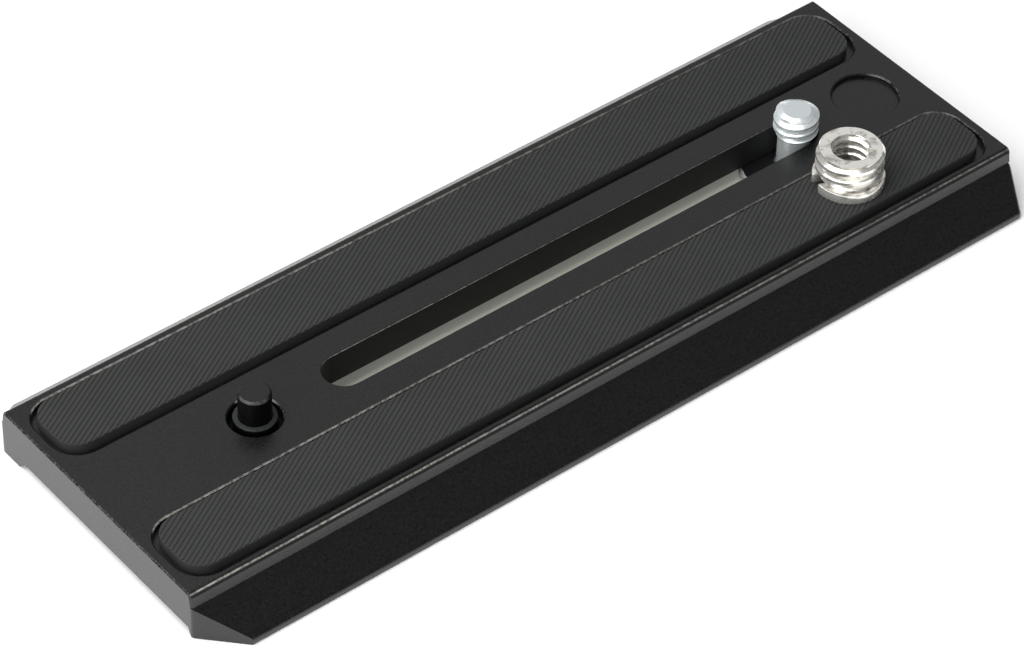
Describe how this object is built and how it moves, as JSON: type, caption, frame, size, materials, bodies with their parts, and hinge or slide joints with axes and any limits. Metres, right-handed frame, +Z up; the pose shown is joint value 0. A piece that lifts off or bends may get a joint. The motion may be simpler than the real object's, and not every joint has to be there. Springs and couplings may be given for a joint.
{
  "type": "tripod quick release plate",
  "caption": "Long sliding dovetail camera plate with ribbed grip pads, a captive camera screw in a slot, a sprung locating pin and a loose thread bushing.",
  "frame": {"origin": "under the middle of the plate, on the plane its two rails stand on", "axes": "+X along the plate towards the camera screw's parked end, +Y across it, +Z up out of the pads"},
  "size_m": [0.14, 0.0532, 0.0141],
  "materials": {
    "black_anodised": "satin black anodised",
    "grip_rubber": "matte",
    "zinc_steel": "bright zinc plated",
    "washer_plastic": "matte",
    "black_steel": "black oxide",
    "spring_steel": "drawn wire",
    "nickel_plate": "bright nickel plated"
  },
  "bodies": {
    "plate": {"plate_body": "black_anodised", "rear_grip_pad": "grip_rubber", "front_grip_pad": "grip_rubber", "pin_guide": "black_steel", "pin_spring": "spring_steel", "pin_cap": "black_anodised", "reducer_bushing": "nickel_plate"},
    "washer": {"screw_washer": "washer_plastic"},
    "screw": {"camera_screw": "zinc_steel"},
    "pin": {"locating_pin": "black_steel"}
  },
  "joints": [
    {"name": "screw_slide", "type": "slide", "parent": "plate", "child": "washer", "axis": [1, 0, 0], "range_m": [-0.0783, 0]},
    {"name": "screw_spin", "type": "hinge", "parent": "washer", "child": "screw", "pos_m": [0.04835, 0, 0.005], "axis": [0, 0, 1], "continuous": true},
    {"name": "pin_press", "type": "slide", "parent": "plate", "child": "pin", "axis": [0, 0, -1], "range_m": [0, 0.00375], "stiffness_N_per_m": 400, "springref_m": -0.004, "deforming": ["pin_spring"]}
  ]
}
